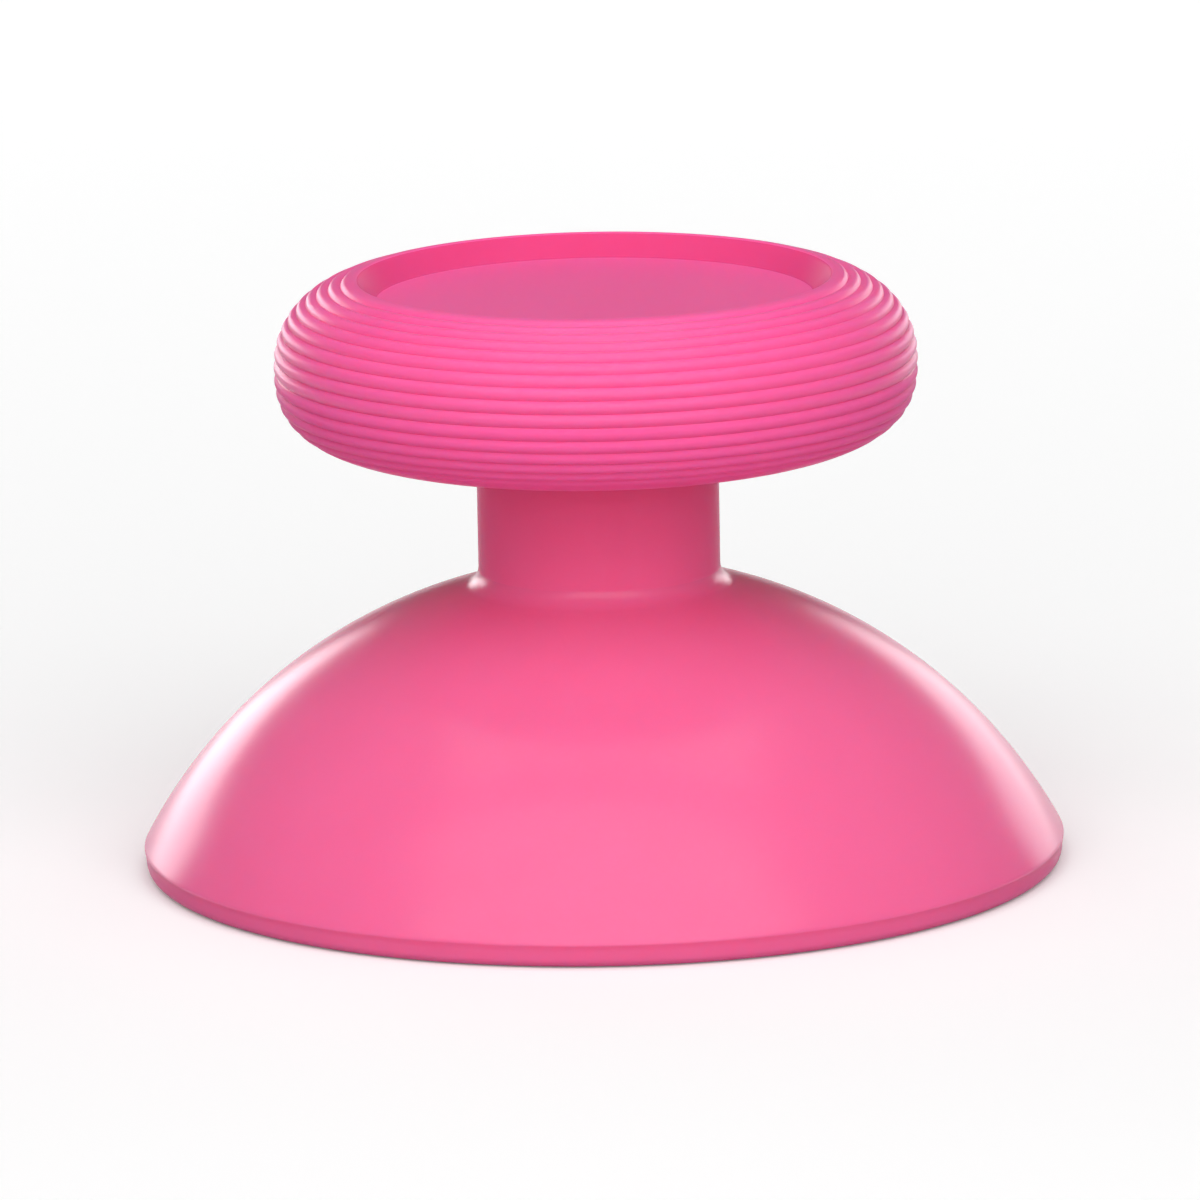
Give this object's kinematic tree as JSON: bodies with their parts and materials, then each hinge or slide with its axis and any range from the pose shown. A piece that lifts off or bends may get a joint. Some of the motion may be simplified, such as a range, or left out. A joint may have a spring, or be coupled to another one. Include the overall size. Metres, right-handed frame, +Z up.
{
  "type": "controller thumbstick",
  "caption": "One-piece thumbstick: wide ringed cap with a shallow dished top, on a short round stem over a hollow domed skirt with a keyed shaft socket.",
  "frame": {"origin": "middle of the flat rim that the skirt stands on", "axes": "+Z up along the stem towards the cap; the socket's long side runs along X and its flats face along Y"},
  "size_m": [0.0264, 0.0264, 0.0171],
  "materials": {
    "pink_plastic": "satin moulded plastic, bright pink throughout, finer matt on the ringed cap and smoother on the stem and skirt"
  },
  "bodies": {
    "root": {"thumbstick": "pink_plastic"}
  },
  "joints": []
}
